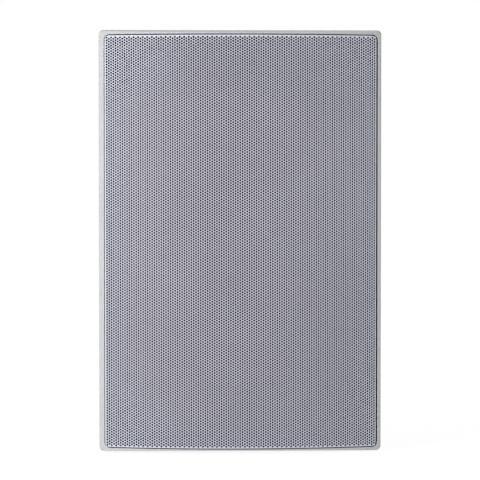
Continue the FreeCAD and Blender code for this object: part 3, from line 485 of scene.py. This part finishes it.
def edge_loop(inset, drop=0.0):
    """The outline of the sheet moved inwards by inset, on the bow or sunk below it."""
    plan = rounded_rectangle(HALF_ACROSS - inset, HALF_HEIGHT - inset, CORNER - inset)
    return on_bow(plan[:, 0], plan[:, 1], drop)


def border_strip():
    """Points and faces of the flat strip between the fold and the outermost cells."""
    outer = rounded_rectangle(HALF_ACROSS - FOLD, HALF_HEIGHT - FOLD, CORNER - FOLD)
    up = line_heights()
    along = np.array([column_place(line) for line in range(COLUMNS + 1)])
    inner = np.concatenate([
        np.stack([np.full(len(up) - 1, along[-1]), up[:-1]], axis=-1),
        np.stack([along[:0:-1], np.full(len(along) - 1, up[-1])], axis=-1),
        np.stack([np.full(len(up) - 1, along[0]), up[:0:-1]], axis=-1),
        np.stack([along[:-1], np.full(len(along) - 1, up[0])], axis=-1),
    ])
    vertices = [Vector(point) for loop in (outer, inner) for point in loop]
    edges = []
    for base, loop in ((0, outer), (len(outer), inner)):
        edges += [(base + i, base + (i + 1) % len(loop)) for i in range(len(loop))]
    flat, _, faces, *_ = delaunay_2d_cdt(vertices, edges, [], 1, MERGE)
    flat = np.array([tuple(v) for v in flat])
    kept = []
    for face in faces:
        across, height = flat[list(face)].mean(axis=0)
        if not (along[0] < across < along[-1] and up[0] < height < up[-1]):
            kept.append(face)
    return on_bow(flat[:, 0], flat[:, 1]), kept


def grille_border():
    """The plain edge of the sheet: the strip round the holes, the fold and the flange down to its seat."""
    loops = []
    for step in range(FOLD_STEPS + 1):
        turn = math.pi / 2 * step / FOLD_STEPS
        loop = edge_loop(FOLD * (1 - math.sin(turn)))
        loop[:, 1] += FOLD * (1 - math.cos(turn))
        loops.append(loop)
    # The flange: outside and inside at its seat, then up inside to the back of the sheet
    for inset, level in ((0.0, SEAT), (SHEET, SEAT), (SHEET, None)):
        loop = edge_loop(inset, SHEET)
        if level is not None:
            loop[:, 1] = level
        loops.append(loop)
    points = np.concatenate(loops)
    faces = list(loop_faces(len(loops), len(loops[0])))
    strip_points, strip_faces = border_strip()
    faces += [[index + len(points) for index in face] for face in strip_faces]
    points = np.concatenate([points, strip_points])
    return new_piece("grille_border", points, faces, "grille_paint", smooth=True)


per_field = math.ceil(COLUMNS / FIELDS)
for field in range(FIELDS):
    last_column = min(COLUMNS, (field + 1) * per_field) - 1
    perforated_field(f"grille_field_{field + 1}", field * per_field, last_column)
border = grille_border()
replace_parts(border, "grille")


# Soft pieces behind the grille

def bowed_cloth():
    """The acoustic cloth stretched behind the perforated sheet, out to its flange."""
    half_across, half_height = HALF_ACROSS - SCRIM_MARGIN, HALF_HEIGHT - SCRIM_MARGIN
    across, height = np.meshgrid(
        np.linspace(-half_across, half_across, SCRIM_COLUMNS),
        np.linspace(-half_height, half_height, SCRIM_ROWS),
    )
    slack = SCRIM_SLACK * np.sin(across * SLACK_ACROSS) * np.sin(height * SLACK_UP)
    points = on_bow(across.ravel(), height.ravel(), SCRIM_DROP + slack.ravel())
    faces = grid_faces(SCRIM_ROWS, SCRIM_COLUMNS)
    cloth = new_piece("scrim_cloth", points, faces, "scrim", smooth=True)
    return cloth


def wadding_batt():
    """The batt of loose fibre: flat on the back wall, crowned and lumpy towards the room."""
    low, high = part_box("wadding_pad")
    u, v = np.meshgrid(np.linspace(-1, 1, BATT_GRID), np.linspace(-1, 1, BATT_GRID))
    x = (low.x + high.x) / 2 + (high.x - low.x) / 2 * u * (1 - BATT_PULL * (1 - v * v))
    z = (low.z + high.z) / 2 + (high.z - low.z) / 2 * v * (1 - BATT_PULL * (1 - u * u))
    # Full over most of its face, and rounded off towards the edges
    crown = ((1 - u ** 8) * (1 - v ** 8)) ** 0.4
    # Crossing waves: coarse ones askew, and finer ones of half their height
    coarse = np.sin(5.1 * u + 1.3 * v) * np.sin(4.3 * v - 0.8 * u)
    fine = 0.5 * np.sin(11 * u + 2) * np.sin(13 * v + 1)
    front = high.y - (high.y - low.y) * crown * (BATT_FULL + BATT_LUMP * (coarse + fine))
    back = np.full_like(front, high.y)
    points = [np.stack([x, y, z], axis=-1).reshape(-1, 3) for y in (front, back)]
    faces = grid_faces(BATT_GRID, BATT_GRID)
    faces = [*faces, *(faces[:, ::-1] + BATT_GRID ** 2)]
    batt = new_piece("wadding_batt", np.concatenate(points), faces, "pad", smooth=True)
    return batt


def turned_wedges(name, front, back, slot):
    """A flexing ring in equal wedges, turned from a section that runs from the diaphragm at start to the
    enclosure at stop.
    """
    section = np.array(front + back[::-1])
    radii, levels = section.T
    faces = flipped(loop_faces(WEDGE_SECTIONS, len(section)))
    step = 2 * math.pi / WEDGES
    wedges = []
    for wedge in range(WEDGES):
        points = [
            np.stack([radii * math.cos(turn), levels, DRIVER_Z + radii * math.sin(turn)], axis=-1)
            for turn in step * (wedge + np.linspace(-0.5, 0.5, WEDGE_SECTIONS))
        ]
        label = f"{name}_{wedge + 1}"
        piece = new_piece(label, np.concatenate(points), faces, slot, body=None, smooth=True)
        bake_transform(piece)
        wedges.append(piece)
    return wedges


def rubber_roll():
    """The half roll between the cone and the basket."""
    low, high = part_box("surround")
    rise = high.y - low.y - ROLL_WALL
    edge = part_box("speaker_cone")[1].x
    middle = edge + rise + ROLL_TO_EDGE

    def profile(radius, level):
        roll = [
            (middle - radius * math.cos(turn), level - rise * math.sin(turn))
            for turn in np.linspace(0, math.pi, ROLL_POINTS)
        ]
        return [(edge - ROLL_OVERLAP, level), *roll, (high.x, level)]

    front = profile(rise + ROLL_WALL, high.y - ROLL_WALL)
    back = profile(rise, high.y)
    return turned_wedges("rubber_roll", front, back, "roll")


def corrugated_disc():
    """The resin cloth disc that centres the voice coil, with smooth corrugations."""
    low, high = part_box("spider")
    level = (low.y + high.y - DISC_WALL) / 2
    wave = (high.y - low.y - DISC_WALL) / 2
    radii = np.linspace(DISC_COLLAR, DISC_LIP, DISC_POINTS)
    turns = 2 * math.pi * DISC_WAVES * (radii - DISC_COLLAR) / (DISC_LIP - DISC_COLLAR)
    front = [(DISC_HOLE, level), *zip(radii, level + wave * np.sin(turns)), (high.x, level)]
    back = [(radius, y + DISC_WALL) for radius, y in front]
    return turned_wedges("corrugated_disc", front, back, "doped_cloth")


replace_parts(bowed_cloth(), "dust_scrim")
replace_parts(wadding_batt(), "wadding_pad")
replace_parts(rubber_roll()[0], "surround")
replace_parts(corrugated_disc()[0], "spider")


# Bare ends of the driver leads

def soldered_end(name, x):
    """A tinned strand out of a lead's sleeve and up to the solder on the back of its lug."""
    leads_low, leads_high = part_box("driver_leads")
    lugs_low, lugs_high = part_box("tag_lugs")
    end_y, end_z = leads_low.y + SLEEVE_END_BACK, leads_high.z - SLEEVE_END_DOWN
    start_back, start_up = STRAND_START
    stations = [
        (end_y + start_back, end_z + start_up, STRAND),
        (end_y, end_z, STRAND),
        (lugs_high.y + STRAND, end_z + STRAND_UPRIGHT, STRAND),
        *((lugs_high.y + back, lugs_low.z + up, radius) for back, up, radius in SOLDER),
    ]
    turns = np.arange(STRAND_SIDES) * math.tau / STRAND_SIDES
    ring = np.stack([np.cos(turns), np.sin(turns), np.zeros(STRAND_SIDES)], axis=-1)
    loops = [np.array([x, y, z]) + radius * ring for y, z, radius in stations]
    sides = flipped(loop_faces(len(loops), STRAND_SIDES))
    bottom = np.arange(STRAND_SIDES)
    top = bottom + (len(loops) - 1) * STRAND_SIDES
    return new_piece(name, np.concatenate(loops), [bottom[::-1], top, *sides], "tin", smooth=True)


lug_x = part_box("tag_lugs")[1].x - LUG_WIDTH / 2
soldered_end("soldered_end_1", -lug_x)
soldered_end("soldered_end_2", lug_x)


# Stage, light and camera

def seen_directly(tree):
    """1 for rays from the camera, a gloss or glass, and 0 for the light that falls on the object."""
    path = tree.nodes.new("ShaderNodeLightPath")
    seen = path.outputs["Is Camera Ray"]
    for kind in ("Is Glossy Ray", "Is Transmission Ray"):
        either = tree.nodes.new("ShaderNodeMath")
        either.operation = "MAXIMUM"
        tree.links.new(seen, either.inputs[0])
        tree.links.new(path.outputs[kind], either.inputs[1])
        seen = either.outputs["Value"]
    return seen


def pale_floor():
    """A floor that looks white and still takes a little shadow."""
    paper = Shader("floor_paper", (0.9, 0.9, 0.9), roughness=0.9)
    glow = paper.add("Emission", {"Color": (1, 1, 1, 1), "Strength": FLOOR_GLOW})
    seen = seen_directly(paper.material.node_tree)
    share = paper.add("Math", {0: seen, 1: FLOOR_GLOW_SHARE}, operation="MULTIPLY").outputs["Value"]
    diffuse, light = paper.surface.outputs["BSDF"], glow.outputs["Emission"]
    mix = paper.add("MixShader", {0: share, 1: diffuse, 2: light})
    paper.links.new(mix.outputs["Shader"], paper.nodes["Material Output"].inputs["Surface"])
    corners = [(-1, -1), (1, -1), (1, 1), (-1, 1)]
    points = [(side * FLOOR_REACH, depth * FLOOR_REACH, STAND) for side, depth in corners]
    return new_object("floor", points, [(0, 1, 2, 3)], paper.material)


def studio_world():
    """A soft even light on the object, and white where the world itself is seen."""
    world = bpy.data.worlds.new("studio")
    world.use_nodes = True
    tree = world.node_tree
    ambient = tree.nodes["Background"]
    ambient.inputs["Color"].default_value = (*AMBIENT_COLOUR, 1)
    ambient.inputs["Strength"].default_value = AMBIENT_STRENGTH
    white = tree.nodes.new("ShaderNodeBackground")
    white.inputs["Color"].default_value = (1, 1, 1, 1)
    white.inputs["Strength"].default_value = 1.0
    choice = tree.nodes.new("ShaderNodeMixShader")
    tree.links.new(seen_directly(tree), choice.inputs[0])
    tree.links.new(ambient.outputs["Background"], choice.inputs[1])
    tree.links.new(white.outputs["Background"], choice.inputs[2])
    tree.links.new(choice.outputs["Shader"], tree.nodes["World Output"].inputs["Surface"])
    return world


def aimed(name, data, place, aim):
    """A lamp or camera at a place, turned to a point."""
    item = bpy.data.objects.new(name, data)
    item.location = place
    item.rotation_euler = (aim - Vector(place)).to_track_quat("-Z", "Y").to_euler()
    bpy.context.scene.collection.objects.link(item)
    return item


def lamp(name, place, size, power, colour=(1, 1, 1)):
    """A square soft light that faces the middle of the front."""
    light = bpy.data.lights.new(name, "AREA")
    light.size = size
    light.energy = power
    light.color = colour
    aimed(name, light, place, LAMP_AIM)


pale_floor()
bpy.context.scene.world = studio_world()
lamp("key_light", (-1.5, -1.5, 0.8), size=1.0, power=35.0)
lamp("fill_light", (1.4, -1.8, 0.5), size=1.4, power=2.6, colour=(1.0, 0.96, 0.84))
lamp("top_light", (-1.0, -0.4, 1.5), size=0.9, power=7.0)

view = bpy.data.cameras.new("camera")
view.sensor_width = SENSOR
view.lens = FOCAL_PIXELS / IMAGE_PIXELS * SENSOR
bpy.context.scene.camera = aimed("camera", view, CAMERA_AT, CAMERA_TO)
bpy.context.scene.view_settings.view_transform = "Standard"
